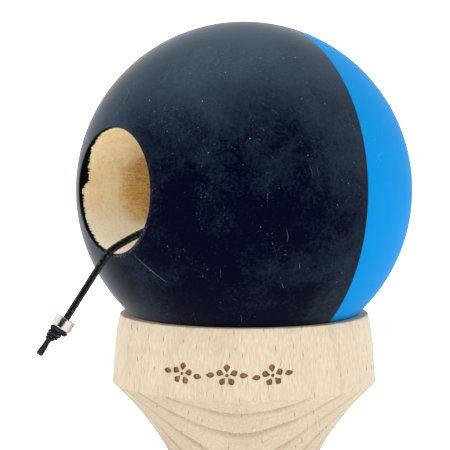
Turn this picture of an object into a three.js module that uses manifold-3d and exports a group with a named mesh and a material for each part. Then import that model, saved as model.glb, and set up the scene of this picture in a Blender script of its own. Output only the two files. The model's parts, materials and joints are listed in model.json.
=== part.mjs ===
// A kendama (ball-and-cup toy): a 60 mm ball parked on the big cup of a turned cross-piece, the handle
// with spike and base cup pushed through the cross-piece's waist, and one cord with a steel stop bead.
// Millimetres. +X along the handle towards the spike, +Y to the back, +Z up. The origin is the middle of
// the object's footprint, on the surface that the small cup's rim stands on.
import * as THREE from "three";
import { mergeVertices } from "three/addons/utils/BufferGeometryUtils.js";
import Module from "manifold-3d";

const wasm = await Module();
wasm.setup();

// Driving dimensions.
const BALL_R = 30; // outside of the coats
const BALL_AZIMUTH = 54.2; // turn of the bore's mouth from -Y towards -X, degrees
const BALL_TILT = 2.6; // rise of the bore's mouth, degrees
const COAT = 0.5; // thickness of the rubber coat
const SKIN_GAP = 0.1; // between the coats and the core, and between the two coats
const BORE_R = 11;
const BORE_DEPTH = 40; // from the mouth plane to the bore's flat floor
const MOUTH_BEVEL = 0.35;
const COAT_SPLIT = 0.163; // where the two coats meet, in ball radii past the middle, away from the bore
const STRING_HOLE_R = 1.3;

const RIM_Z = 70; // height of the big cup's rim over the small cup's rim
const BALL_SINK = 22; // ball centre over the rim
const SEAT_GAP = 0.2;
const RIM_R = 22.2;
const RIDGE_R = 23.6;
const RIDGE_Z = 57.7;
const WAIST_R = 11;
const WAIST_Z = 35;
const CUP_FLOOR_Z = 56;
const SMALL_RIM_R = 19.6;
const SMALL_RIDGE_R = 20.6;
const SMALL_RIDGE_Z = 13;
const SMALL_CUP_DEPTH = 7.5;

const SPIKE_LENGTH = 66; // from the cross-piece's axis to the tip
const GRIP_LENGTH = 102; // from the cross-piece's axis to the base cup's rim
const STEM_R = 7.5; // of the handle inside the cross-piece
const STEM_GAP = 0.3;
const SHOULDER_R = 9.4;
const TIP_R = 3.8;
const BASE_RIM_R = 18.9;
const BASE_RIDGE_R = 19.7;
const BASE_CUP_DEPTH = 7.5;
const KNOT_HOLE_R = 2.6;

const CORD_R = 0.575;
const CORD_HOLE_R = 1.1;
const CORD_SIDES = 8;
const FACE_GAP = 0.3; // between the cord's solids where they meet end to end
const BEAD_R = 1.9;
const BEAD_BORE_R = 0.85;
const BEAD_LENGTH = 2;
const COIL_R = 6.3; // at the middle of its turns
const COIL_HALF_WIDTH = 2.2;
const COIL_BASE = 0.45;
const COIL_HEIGHT = 2.35;
const COIL_X = 1;
const COIL_Y = 31;

const BALL_SIDES = 36;
const CUP_SIDES = 40;
const HANDLE_SIDES = 28;

// Places that follow from them.
const CROSS_X = (GRIP_LENGTH - SPIKE_LENGTH) / 2; // the cross-piece's axis, so that the handle is centred
const ball = new THREE.Vector3(CROSS_X, 0, RIM_Z + BALL_SINK);
const azimuth = THREE.MathUtils.degToRad(BALL_AZIMUTH);
const tilt = THREE.MathUtils.degToRad(BALL_TILT);
const mouthWay = new THREE.Vector3(
  -Math.sin(azimuth) * Math.cos(tilt),
  -Math.cos(azimuth) * Math.cos(tilt),
  Math.sin(tilt),
);
const sideWay = new THREE.Vector3(0, 0, 1).cross(mouthWay).normalize();
const upWay = mouthWay.clone().cross(sideWay);

const finishes = {
  beech: { color: 0xe1cfb4, roughness: 0.62, metalness: 0 },
  navy_rubber: { color: 0x0e1626, roughness: 0.75, metalness: 0 },
  blue_rubber: { color: 0x1490e8, roughness: 0.6, metalness: 0 },
  steel: { color: 0xc9c7c2, roughness: 0.2, metalness: 1 },
  cord: { color: 0x101214, roughness: 0.85, metalness: 0 },
  tie: { color: 0x2a2c30, roughness: 0.7, metalness: 0 },
};

// A point of the ball's own axes: along the bore, to its side, and up.
function ballPoint([along, side, up]) {
  return ball
    .clone()
    .addScaledVector(mouthWay, along)
    .addScaledVector(sideWay, side)
    .addScaledVector(upWay, up);
}

function piece(name, geometry, finish) {
  const mesh = new THREE.Mesh(geometry, new THREE.MeshStandardMaterial(finishes[finish]));
  mesh.name = name;
  return mesh;
}

// A profile of [radius, height] turned about the axis "x", "y" or "z".
function turned(profile, sides, axis) {
  const points = profile.map(([r, h]) => new THREE.Vector2(r, h));
  const geometry = new THREE.LatheGeometry(points, sides);
  if (axis === "z") geometry.rotateX(Math.PI / 2);
  if (axis === "x") geometry.rotateZ(-Math.PI / 2);
  return geometry;
}

function solidOf(geometry) {
  const bare = geometry.clone();
  bare.deleteAttribute("normal");
  bare.deleteAttribute("uv");
  const merged = mergeVertices(bare, 1e-4);
  return new wasm.Manifold(
    new wasm.Mesh({
      numProp: 3,
      vertProperties: new Float32Array(merged.attributes.position.array),
      triVerts: new Uint32Array(merged.index.array),
    }),
  );
}

function geometryOf(solid) {
  const mesh = solid.getMesh();
  const geometry = new THREE.BufferGeometry();
  geometry.setAttribute("position", new THREE.BufferAttribute(mesh.vertProperties, 3));
  geometry.setIndex(new THREE.BufferAttribute(mesh.triVerts, 1));
  return geometry;
}

function cut(geometry, ...tools) {
  return geometryOf(tools.reduce((left, tool) => left.subtract(solidOf(tool)), solidOf(geometry)));
}

// Points of a cubic curve between two [radius, height] ends, with a handle at each.
function bend(from, fromHandle, toHandle, to, count) {
  const curve = new THREE.CubicBezierCurve(
    new THREE.Vector2(...from),
    new THREE.Vector2(...fromHandle),
    new THREE.Vector2(...toHandle),
    new THREE.Vector2(...to),
  );
  return curve.getPoints(count).map((p) => [p.x, p.y]);
}

// Points of a circle about the ball's centre, from one angle to another, counted from the bore's mouth.
function arc(radius, fromAngle, toAngle, count) {
  return Array.from({ length: count + 1 }, (_, i) => {
    const angle = fromAngle + ((toAngle - fromAngle) * i) / count;
    return [radius * Math.sin(angle), radius * Math.cos(angle)];
  });
}

// The cross-piece: big cup above, waist, small cup below, with the bore for the handle.
function crossPiece() {
  const seatR = Math.sqrt((BALL_R + SEAT_GAP) ** 2 - BALL_SINK ** 2);
  const profile = [
    [0, SMALL_CUP_DEPTH],
    [SMALL_RIM_R - 9, SMALL_CUP_DEPTH - 1],
    [SMALL_RIM_R - 1.8, 0],
    [SMALL_RIM_R, 0],
    [SMALL_RIM_R + 0.7, SMALL_RIDGE_Z / 2],
    [SMALL_RIDGE_R, SMALL_RIDGE_Z],
    ...bend(
      [SMALL_RIDGE_R - 0.4, SMALL_RIDGE_Z + 0.5],
      [SMALL_RIDGE_R - 5, SMALL_RIDGE_Z + 5],
      [WAIST_R, WAIST_Z - 9],
      [WAIST_R, WAIST_Z],
      7,
    ),
    ...bend(
      [WAIST_R, WAIST_Z],
      [WAIST_R, WAIST_Z + 9],
      [RIDGE_R - 5.8, RIDGE_Z - 5.5],
      [RIDGE_R, RIDGE_Z],
      9,
    ).slice(1),
    [RIM_R + 0.95, RIM_Z - 6.1],
    [RIM_R, RIM_Z],
    [seatR, RIM_Z],
    [seatR - 4.4, RIM_Z - 5.6],
    [seatR - 10.5, CUP_FLOOR_Z + 2.6],
    [6, CUP_FLOOR_Z],
    [0, CUP_FLOOR_Z],
  ];
  const body = turned(profile, CUP_SIDES, "z");
  const boreR = STEM_R + STEM_GAP;
  const handleBore = turned(
    [
      [0, -WAIST_R * 3],
      [SHOULDER_R + STEM_GAP + 0.4, -WAIST_R * 3],
      [SHOULDER_R + STEM_GAP + 0.4, -12.7],
      [boreR, -9.9],
      [boreR, WAIST_R - 0.2],
      [boreR + 12, WAIST_R + 11.8],
      [0, WAIST_R + 11.8],
    ],
    HANDLE_SIDES,
    "x",
  ).translate(0, 0, WAIST_Z);
  const stringHole = turned(
    [
      [0, 0],
      [CORD_HOLE_R, 0],
      [CORD_HOLE_R, WAIST_R * 2],
      [0, WAIST_R * 2],
    ],
    12,
    "y",
  ).translate(0, 0, WAIST_Z);
  const mesh = piece("cross_piece", cut(body, handleBore, stringHole), "beech");
  mesh.position.x = CROSS_X;
  return mesh;
}

// The handle: spike, stem in the cross-piece, grip and base cup, turned in one piece.
function ken() {
  const grip = GRIP_LENGTH;
  const profile = [
    [0, BASE_CUP_DEPTH - grip],
    [BASE_RIM_R - 8.5, BASE_CUP_DEPTH - 1 - grip],
    [BASE_RIM_R - 1.7, -grip],
    [BASE_RIM_R, -grip],
    [BASE_RIDGE_R, 8 - grip],
    ...bend([BASE_RIDGE_R - 0.4, 8.4 - grip], [15, 12 - grip], [9, 17 - grip], [8.6, 30 - grip], 5),
    [8.2, -52],
    [8.7, -28],
    [SHOULDER_R, -15],
    [SHOULDER_R, -12.8],
    [STEM_R, -10.2],
    [STEM_R, 10],
    [STEM_R - 0.35, 24],
    [TIP_R + 2.1, 44],
    [TIP_R + 0.35, SPIKE_LENGTH - 5],
    [TIP_R - 0.5, SPIKE_LENGTH - 1.6],
    [TIP_R - 1.9, SPIKE_LENGTH - 0.3],
    [0, SPIKE_LENGTH],
  ];
  const body = turned(profile, HANDLE_SIDES, "x");
  const knotHole = turned(
    [
      [0, -STEM_R * 2],
      [KNOT_HOLE_R, -STEM_R * 2],
      [KNOT_HOLE_R, STEM_R * 2],
      [0, STEM_R * 2],
    ],
    16,
    "y",
  );
  const mesh = piece("ken", cut(body, knotHole), "beech");
  mesh.position.set(CROSS_X, 0, WAIST_Z);
  return mesh;
}

// The ball, turned about its bore: a wooden core under two skins of rubber.
function ballPieces() {
  const coreR = BALL_R - COAT - SKIN_GAP;
  const innerR = BALL_R - COAT;
  const mouth = Math.asin((BORE_R + MOUTH_BEVEL) / BALL_R);
  const end = Math.PI - Math.asin(STRING_HOLE_R / innerR);
  const split = Math.acos(-COAT_SPLIT);
  const half = SKIN_GAP / 2 / BALL_R;
  const floor = Math.cos(mouth) * BALL_R - BORE_DEPTH;
  const skin = (name, from, to, finish) => {
    const outside = arc(BALL_R, from, to, 10);
    const inside = arc(innerR, from, to, 10).reverse();
    return piece(name, turned([...outside, ...inside, outside[0]].reverse(), BALL_SIDES), finish);
  };
  const shell = [...arc(coreR, mouth, split, 10), ...arc(coreR, split, end, 10).slice(1)];
  const core = [
    ...shell,
    [STRING_HOLE_R, floor - 0.8],
    [BORE_R - 1.5, floor],
    [BORE_R, floor + 1.5],
    [BORE_R, Math.cos(mouth) * coreR - MOUTH_BEVEL],
    shell[0],
  ];
  const group = new THREE.Group();
  group.position.copy(ball);
  group.quaternion.setFromUnitVectors(new THREE.Vector3(0, 1, 0), mouthWay);
  group.add(
    piece("ball_core", turned(core.reverse(), BALL_SIDES), "beech"),
    skin("navy_coat", mouth, split - half, "navy_rubber"),
    skin("blue_coat", split + half, end, "blue_rubber"),
  );
  return group;
}

// The cord's routes, chosen by hand. Inside the ball and over its lip they are in the ball's own axes.
const hangWay = [0.466, -0.2155, -0.858]; // along, side, up: the way that the free end points
const hangStart = [29.55, -0.39, -12.49];
const alongHang = (distance) => hangStart.map((value, i) => value + hangWay[i] * distance);
const beadAt = 12.45; // the bead's middle, from where the cord is clear of the lip
const knotAt = beadAt + BEAD_LENGTH / 2 + 0.1;
const inBallRoute = [
  [-26, 0, 0],
  [-19, 0, 0],
  [-13, 0, 0],
  [-9, 0, -0.25],
  [-3, -0.1, -1.1],
  [4, -0.2, -2.5],
  [11, -0.35, -4.1],
  [17, -0.4, -5.7],
  [21.3, -0.33, -6.93],
  [24.25, -0.22, -7.72],
  [26.87, -0.1, -9.17],
  [28.15, -0.03, -10.24],
  [28.87, -0.1, -11.31],
  hangStart,
  alongHang(4),
  alongHang(9),
  alongHang(knotAt - FACE_GAP),
].map(ballPoint);

const toCoilRoute = [
  ballPoint([-26 - FACE_GAP, 0, 0]),
  ballPoint([-31, 0, 0]),
  ...[
    [44.32, 19.18, 90.16],
    [44.95, 20.1, 89.08],
    [44.92, 20.72, 87.65],
    [41.1, 22.4, 77],
    [35.3, 25, 60.5],
    [28.6, 27.9, 42.5],
    [21.9, 30.8, 25.3],
    [16.4, 33.2, 11.6],
    [14, 34.1, 6],
    [11.9, 35, 3.1],
    [9.7, 35.9, 2.35],
    [7.8, 36.7, 2.2],
  ].map((p) => new THREE.Vector3(...p)),
];

const toCrossRoute = [
  [18, 3.3, 35],
  [18, 7.5, 35],
  [18, 11.4, 35],
  [18, 14.4, 34.8],
  [18, 16.8, 33.4],
  [17.9, 18.2, 30.6],
  [17.8, 19.3, 26],
  [17.7, 20.5, 20],
  [17.5, 21.7, 14],
  [17.1, 22.5, 8],
  [16.2, 22.9, 3.6],
  [14.2, 23.1, 1.2],
  [11.4, 23.1, 0.65],
  [8.2, 23.1, 0.75],
  [5.2, 23.1, 1.03],
].map((p) => new THREE.Vector3(...p));

function cordTube(name, route, steps) {
  const section = new THREE.Shape();
  for (let i = 0; i < CORD_SIDES; i++) {
    const angle = (2 * Math.PI * i) / CORD_SIDES;
    section[i ? "lineTo" : "moveTo"](CORD_R * Math.cos(angle), CORD_R * Math.sin(angle));
  }
  const extrudePath = new THREE.CatmullRomCurve3(route, false, "centripetal");
  const options = { extrudePath, steps, bevelEnabled: false };
  return piece(name, new THREE.ExtrudeGeometry(section, options), "cord");
}

// The steel bead and the knot that stops it, turned about the cord's free end.
function beadAndKnot() {
  const way = ballPoint(hangWay).sub(ball).normalize();
  const onCord = (mesh, distance) => {
    mesh.position.copy(ballPoint(alongHang(distance)));
    mesh.quaternion.setFromUnitVectors(new THREE.Vector3(0, 1, 0), way);
    return mesh;
  };
  const half = BEAD_LENGTH / 2;
  const bevel = 0.15;
  const bead = [
    [BEAD_BORE_R, -half],
    [BEAD_R - bevel, -half],
    [BEAD_R, bevel - half],
    [BEAD_R, half - bevel],
    [BEAD_R - bevel, half],
    [BEAD_BORE_R, half],
    [BEAD_BORE_R, -half],
  ];
  const knot = [
    [0, 0],
    [1.4, 0],
    [1.5, 0.45],
    [1.4, 0.9],
    [1.15, 1.1],
    [1.1, 1.7],
    [0.55, 2.35],
    [0.5, 3.4],
    [0.58, 5.3],
    [0.5, 5.75],
    [0, 5.75],
  ];
  return [
    onCord(piece("stop_bead", turned(bead, 24), "steel"), beadAt),
    onCord(piece("end_knot", turned(knot, 14), "cord"), knotAt),
  ];
}

function lockKnot() {
  const knot = piece("lock_knot", new THREE.SphereGeometry(1.9, 14, 10), "cord");
  knot.scale.set(1, 1.35, 1);
  knot.position.set(CROSS_X, 0.4, WAIST_Z);
  return knot;
}

function coil() {
  const top = COIL_BASE + COIL_HEIGHT;
  const inner = COIL_R - COIL_HALF_WIDTH;
  const outer = COIL_R + COIL_HALF_WIDTH;
  const corner = 0.5;
  const section = [
    [inner, COIL_BASE + corner],
    [inner + corner, COIL_BASE],
    [outer - corner, COIL_BASE],
    [outer, COIL_BASE + corner],
    [outer, top - corner],
    [outer - corner, top],
    [inner + corner, top],
    [inner, top - corner],
    [inner, COIL_BASE + corner],
  ];
  const mesh = piece("string_coil", turned(section, 28, "z"), "cord");
  mesh.position.set(COIL_X, COIL_Y, 0);
  return mesh;
}

// A flat band round one side of the coil.
function coilTie() {
  const band = 0.32;
  const width = 2.4;
  const halfWide = COIL_HALF_WIDTH + 0.2 + band;
  const high = COIL_HEIGHT + COIL_BASE + 0.15 + band;
  const shape = new THREE.Shape();
  shape.moveTo(-halfWide, 0).lineTo(halfWide, 0).lineTo(halfWide, high).lineTo(-halfWide, high);
  const hole = new THREE.Path();
  hole.moveTo(band - halfWide, band).lineTo(band - halfWide, high - band);
  hole.lineTo(halfWide - band, high - band).lineTo(halfWide - band, band);
  shape.holes.push(hole);
  const geometry = new THREE.ExtrudeGeometry(shape, { depth: width, bevelEnabled: false });
  geometry.translate(0, 0, -width / 2).rotateX(Math.PI / 2);
  const mesh = piece("coil_tie", geometry, "tie");
  mesh.position.set(COIL_X - COIL_R, COIL_Y, 0);
  return mesh;
}

const kendama = new THREE.Group();
kendama.add(
  crossPiece(),
  ken(),
  ballPieces(),
  ...beadAndKnot(),
  lockKnot(),
  coil(),
  coilTie(),
  cordTube("string_in_ball", inBallRoute, 36),
  cordTube("string_ball_to_coil", toCoilRoute, 36),
  cordTube("string_to_cross_piece", toCrossRoute, 20),
);

export default kendama;
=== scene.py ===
"""The looks of a kendama: a rubber-coated ball on the big cup of a turned beech cross-piece, with its
handle, its braided cord, the bead and the knots. Lengths are in millimetres until a mesh is made."""

import json
import math

import bpy
import numpy as np
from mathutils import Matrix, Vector


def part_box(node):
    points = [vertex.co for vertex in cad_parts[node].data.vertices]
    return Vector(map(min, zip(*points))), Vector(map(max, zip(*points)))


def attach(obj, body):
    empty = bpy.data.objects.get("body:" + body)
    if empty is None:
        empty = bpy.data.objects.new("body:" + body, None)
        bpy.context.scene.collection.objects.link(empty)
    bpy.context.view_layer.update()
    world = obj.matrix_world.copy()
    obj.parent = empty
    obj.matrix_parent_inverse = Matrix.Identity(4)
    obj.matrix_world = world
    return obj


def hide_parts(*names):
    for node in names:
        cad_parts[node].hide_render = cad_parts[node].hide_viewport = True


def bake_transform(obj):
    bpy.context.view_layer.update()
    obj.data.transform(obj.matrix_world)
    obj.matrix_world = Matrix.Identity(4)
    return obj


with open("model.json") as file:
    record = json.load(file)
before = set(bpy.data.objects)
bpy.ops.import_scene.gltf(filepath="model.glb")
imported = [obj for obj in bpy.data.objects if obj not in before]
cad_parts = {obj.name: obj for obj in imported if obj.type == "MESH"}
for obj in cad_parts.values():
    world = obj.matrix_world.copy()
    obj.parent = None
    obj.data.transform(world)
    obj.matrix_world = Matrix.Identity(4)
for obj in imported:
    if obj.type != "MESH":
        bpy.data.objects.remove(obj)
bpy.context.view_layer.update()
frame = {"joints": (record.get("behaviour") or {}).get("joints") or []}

MM = 0.001


def unit(vector):
    vector = np.array(vector, float)
    return vector / np.linalg.norm(vector)


# Places that the frame gives, in millimetres.
joints = {joint["name"]: joint for joint in frame["joints"]}
BALL = np.array(joints["ball_spin"]["pos_m"]) / MM
MOUTH_WAY = unit(joints["ball_spin"]["axis"])
SIDE_WAY = unit(np.cross((0, 0, 1), MOUTH_WAY))
UP_WAY = np.cross(MOUTH_WAY, SIDE_WAY)
HANG_WAY = -unit(joints["bead_slide"]["axis"])
CROSS_X = BALL[0]
RIM_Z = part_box("cross_piece")[1].z / MM
TIP_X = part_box("ken")[1].x / MM - CROSS_X
BASE_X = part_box("ken")[0].x / MM - CROSS_X

# Driving dimensions.
BALL_R = 30.0
COAT = 0.5
BORE_R = 11.0
BORE_DEPTH = 40.0
MOUTH_R = 11.3
COAT_SPLIT = 0.163  # how far the seam lies behind the ball's middle, in parts of its radius
STRING_HOLE_R = 1.3
BALL_SINK = 22.0  # the ball's middle, above the big cup's rim
RIM_R = 22.2
RIDGE_R = 23.6
RIDGE_Z = 57.7
WAIST_R = 11.0
WAIST_Z = 35.0
CUP_FLOOR_Z = 56.0
SMALL_RIM_R = 19.6
SMALL_RIDGE_R = 20.6
SMALL_RIDGE_Z = 13.0
SMALL_CUP_DEPTH = 7.5
STEM_R = 7.5
SHOULDER_R = 9.4
TIP_R = 3.8
BASE_RIM_R = 18.9
BASE_RIDGE_R = 19.7
BASE_CUP_DEPTH = 7.5
KNOT_HOLE_R = 2.6
CORD_R = 0.56
CORD_HOLE_R = 1.1
BRAID_SWELL = 1.2  # the braid's outer radius, in parts of CORD_R
BEAD_R = 1.9
BEAD_BORE_R = 0.85
BEAD_LENGTH = 2.0
COIL_R = 6.3
COIL_X = 1.0
COIL_Y = 31.0
COIL_LOW = 1.03
COIL_TURNS = 5 + 199.6 / 360

CAMERA_DISTANCE = 550.0
CAMERA_RISE = math.radians(5.1)
CAMERA_AIM = BALL + (-3.4, 0, -6.3)
CAMERA_LENS = 246.6


# The camera and the cord come first.
def make_camera():
    camera = bpy.data.objects.new("camera", bpy.data.cameras.new("camera"))
    bpy.context.scene.collection.objects.link(camera)
    back = np.array((0, -math.cos(CAMERA_RISE), math.sin(CAMERA_RISE)))
    place = BALL + back * CAMERA_DISTANCE
    camera.location = place * MM
    camera.rotation_mode = "QUATERNION"
    camera.rotation_quaternion = Vector(CAMERA_AIM - place).to_track_quat("-Z", "Y")
    camera.data.lens = CAMERA_LENS
    camera.data.sensor_width = 36
    camera.data.clip_start = 0.01
    camera.data.clip_end = 50
    bpy.context.scene.camera = camera


def ball_point(along, side, up):
    """A point of the ball's own axes: along the bore, to its side, and up."""
    return BALL + along * MOUTH_WAY + side * SIDE_WAY + up * UP_WAY


HANG_START = ball_point(29.55, -0.39, -12.49)
BEAD_AT = 12.45  # the bead's middle, from where the cord is clear of the lip
KNOT_AT = BEAD_AT + BEAD_LENGTH / 2 + 0.1

IN_BALL_ROUTE = [
    (-19, 0, 0),
    (-13, 0, 0),
    (-9, 0, -0.25),
    (-3, -0.1, -1.1),
    (4, -0.2, -2.5),
    (11, -0.35, -4.1),
    (17, -0.4, -5.9),
    (21.3, -0.33, -7.35),
    (24.25, -0.22, -8.5),
    (26.87, -0.1, -9.75),
    (28.15, -0.03, -10.5),
    (28.87, -0.1, -11.31),
]
TO_COIL_ROUTE = [
    (44.32, 19.18, 90.16),
    (44.95, 20.1, 89.08),
    (44.92, 20.72, 87.65),
    (41.1, 22.4, 77),
    (35.3, 25, 60.5),
    (28.6, 27.9, 42.5),
    (21.9, 30.8, 25.3),
    (16.4, 33.2, 11.6),
    (14, 34.1, 6),
    (11.9, 35, 3.1),
    (9.7, 35.9, 2.35),
    (7.8, 36.7, 2.2),
]
TO_CROSS_ROUTE = [
    (18, 2.4, 35),
    (18, 7.5, 35),
    (18, 11.4, 35),
    (18, 14.4, 34.8),
    (18, 16.8, 33.4),
    (17.9, 18.2, 30.6),
    (17.8, 19.3, 26),
    (17.7, 20.5, 20),
    (17.5, 21.7, 14),
    (17.1, 22.5, 8),
    (16.2, 22.9, 3.6),
    (14.2, 23.1, 1.2),
    (11.4, 23.1, 0.65),
    (8.2, 23.1, 0.75),
    (5.2, 23.1, 1.03),
]


def coil_points():
    """The stored length: a flat coil of two layers, wound inwards below and outwards on top."""
    spread = COIL_TURNS / 2 * CORD_R
    steps = int(COIL_TURNS * 20)
    points = []
    for i in range(1, steps):
        share = i / steps
        angle = -math.pi / 2 - share * COIL_TURNS * 2 * math.pi
        radius = COIL_R + spread * (abs(1 - 2 * share) * 2 - 1)
        climb = min(max((share - 0.5) * COIL_TURNS * 4, 0), 1)
        height = COIL_LOW + 2 * CORD_R * climb
        points.append((COIL_X + radius * math.cos(angle), COIL_Y + radius * math.sin(angle), height))
    return points


def between(t, start, end, a, b):
    return (end - t) / (end - start) * a + (t - start) / (end - start) * b


def smooth_line(points, spacing, fine_end=0.0):
    """An evenly spaced Catmull-Rom curve through the points, twice as fine over the last fine_end."""
    points = np.array(points, float)
    ends = [2 * points[0] - points[1], *points, 2 * points[-1] - points[-2]]
    dense = []
    for p0, p1, p2, p3 in zip(ends, ends[1:], ends[2:], ends[3:]):
        t0 = 0.0
        t1 = t0 + math.sqrt(np.linalg.norm(p1 - p0))
        t2 = t1 + math.sqrt(np.linalg.norm(p2 - p1))
        t3 = t2 + math.sqrt(np.linalg.norm(p3 - p2))
        t = np.linspace(t1, t2, 16, endpoint=False)[:, None]
        a1 = between(t, t0, t1, p0, p1)
        a2 = between(t, t1, t2, p1, p2)
        a3 = between(t, t2, t3, p2, p3)
        b1 = between(t, t0, t2, a1, a2)
        b2 = between(t, t1, t3, a2, a3)
        dense.append(between(t, t1, t2, b1, b2))
    dense = np.vstack([*dense, points[-1:]])
    run = np.concatenate([[0], np.cumsum(np.linalg.norm(np.diff(dense, axis=0), axis=1))])
    change = run[-1] - fine_end
    stations = np.linspace(0, change, max(2, int(change / spacing)) + 1)
    if fine_end:
        stations = np.concatenate([stations, np.linspace(change, run[-1], int(2 * fine_end / spacing))[1:]])
    return np.column_stack([np.interp(stations, run, dense[:, k]) for k in range(3)])


def link_mesh(name, points, faces):
    """A smooth-shaded mesh object from points in millimetres."""
    mesh = bpy.data.meshes.new(name)
    mesh.from_pydata([tuple(p) for p in np.asarray(points) * MM], [], faces)
    mesh.validate()
    mesh.polygons.foreach_set("use_smooth", np.ones(len(mesh.polygons), bool))
    mesh.update()
    piece = bpy.data.objects.new(name, mesh)
    bpy.context.scene.collection.objects.link(piece)
    return piece


def mark_sharp(piece, degrees=40):
    """Marks the edges whose faces meet at more than this angle, so that the shading breaks there."""
    mesh = piece.data
    normals = [np.array(polygon.normal) for polygon in mesh.polygons]
    faces_of = [[] for _ in mesh.edges]
    for polygon in mesh.polygons:
        for loop in polygon.loop_indices:
            faces_of[mesh.loops[loop].edge_index].append(polygon.index)
    limit = math.cos(math.radians(degrees))
    sharp = [len(f) == 2 and float(normals[f[0]] @ normals[f[1]]) < limit for f in faces_of]
    mesh.edges.foreach_set("use_edge_sharp", sharp)


def ring_mesh(name, rings, closed=False):
    """A mesh through rings of points; one point closes an end, and closed joins the last to the first."""
    starts = np.cumsum([0] + [len(ring) for ring in rings]).tolist()
    faces = []
    for low in range(len(rings) if closed else len(rings) - 1):
        high = (low + 1) % len(rings)
        a, b = starts[low], starts[high]
        sides = max(len(rings[low]), len(rings[high]))
        for j in range(sides):
            k = (j + 1) % sides
            if len(rings[low]) == 1:
                faces.append((a, b + k, b + j))
            elif len(rings[high]) == 1:
                faces.append((a + j, a + k, b))
            else:
                faces.append((a + j, a + k, b + k, b + j))
    return link_mesh(name, np.vstack(rings), faces)


def store(piece, name, values):
    """Stores a value on each point, for the piece's material."""
    attribute = piece.data.attributes.new(name, "FLOAT", "POINT")
    attribute.data.foreach_set("value", values.astype(np.float32))


def tube(name, line, surface_at):
    """A closed tube round a line of points. surface_at takes the run so far and the whole run, and gives
    angles, radii and crowns there: 0 in a groove of the braid and 1 on the top of a strand."""
    ways = np.gradient(line, axis=0)
    ways /= np.linalg.norm(ways, axis=1)[:, None]
    across = unit(np.cross(ways[0], (0.3, 0.9, 0.2)))
    run = np.concatenate([[0], np.cumsum(np.linalg.norm(np.diff(line, axis=0), axis=1))])
    rings, crowns = [line[:1]], [[0.5]]
    for point, way, distance in zip(line, ways, run):
        across = unit(across - way * (across @ way))
        other = np.cross(way, across)
        angles, radii, crown = surface_at(distance, run[-1])
        spokes = np.cos(angles)[:, None] * across + np.sin(angles)[:, None] * other
        rings.append(point + radii[:, None] * spokes)
        crowns.append(crown)
    piece = ring_mesh(name, [*rings, line[-1:]])
    store(piece, "crown", np.concatenate([*crowns, [0.5]]))
    return piece


BRAID_STRANDS = 4  # in each direction
BRAID_PITCH = 4.4  # length of one turn of a strand
BRAID_RELIEF = 0.13
BRAID_DIP = 0.38  # how far a strand dips where it passes under


def braid(outer_r, sides=32):
    """The surface of a round braid: two families of strands that pass over and under each other."""
    angles = np.linspace(0, 2 * math.pi, sides, endpoint=False)

    def surface_at(distance, total):
        right = BRAID_STRANDS * (angles / (2 * math.pi) + distance / BRAID_PITCH)
        left = BRAID_STRANDS * (angles / (2 * math.pi) - distance / BRAID_PITCH)
        over = np.cos(math.pi * (left + np.floor(right)))
        under = np.cos(math.pi * (right + np.floor(left)))
        dome_right = 1 - (2 * (right % 1) - 1) ** 2
        dome_left = 1 - (2 * (left % 1) - 1) ** 2
        dome_right *= 1 - BRAID_DIP + BRAID_DIP * over
        dome_left *= 1 - BRAID_DIP + BRAID_DIP * under
        crown = np.clip(np.maximum(dome_right, dome_left), 0, 1)
        return angles, outer_r * (1 - BRAID_RELIEF * (1 - crown)), crown

    return surface_at


def make_cord():
    """The one cord: from the lock knot to the coil, and through the ball to the end knot."""
    points = [
        *TO_CROSS_ROUTE,
        *coil_points(),
        *reversed(TO_COIL_ROUTE),
        *(ball_point(*p) for p in [(-31, 0, 0), (-26, 0, 0), *IN_BALL_ROUTE]),
        *(HANG_START + HANG_WAY * d for d in (0, 4, 9, KNOT_AT + 1.1)),
    ]
    line = smooth_line(points, 0.2, fine_end=38)
    return tube("cord_braid", line, braid(CORD_R * BRAID_SWELL)), line


make_camera()
cord, cord_line = make_cord()


# Turned pieces.
def outline(*corners, step=0.8):
    """Rows of (radius, height) through corners (radius, height, rounding), with no long run between two."""
    corners = [tuple(c) + (0,) * (3 - len(c)) for c in corners]
    rows = []
    for i, (radius, height, rounding) in enumerate(corners):
        here = np.array((radius, height), float)
        if rounding and 0 < i < len(corners) - 1:
            before = np.array(corners[i - 1][:2]) - here
            after = np.array(corners[i + 1][:2]) - here
            half = math.acos(np.clip(unit(before) @ unit(after), -1, 1)) / 2
            reach = rounding / max(math.tan(half), 1e-6)
            reach = min(reach, 0.48 * np.linalg.norm(before), 0.48 * np.linalg.norm(after))
            first, last = here + unit(before) * reach, here + unit(after) * reach
            for t in np.linspace(0, 1, 7):
                rows.append((1 - t) ** 2 * first + 2 * t * (1 - t) * here + t * t * last)
        else:
            rows.append(here)
    filled = [rows[0]]
    for row in rows[1:]:
        count = max(1, math.ceil(np.linalg.norm(row - filled[-1]) / step))
        start = filled[-1]
        filled += [start + (row - start) * k / count for k in range(1, count + 1)]
    return np.array(filled)


def bend(start, start_handle, end_handle, end, count=24):
    """Points of a cubic curve between two (radius, height) ends, with a handle at each."""
    t = np.linspace(0, 1, count + 1)[:, None]
    a, b, c, d = np.array((start, start_handle, end_handle, end), float)
    curve = (1 - t) ** 3 * a + 3 * t * (1 - t) ** 2 * b
    curve += 3 * t * t * (1 - t) * c + t**3 * d
    return [tuple(p) for p in curve]


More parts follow.
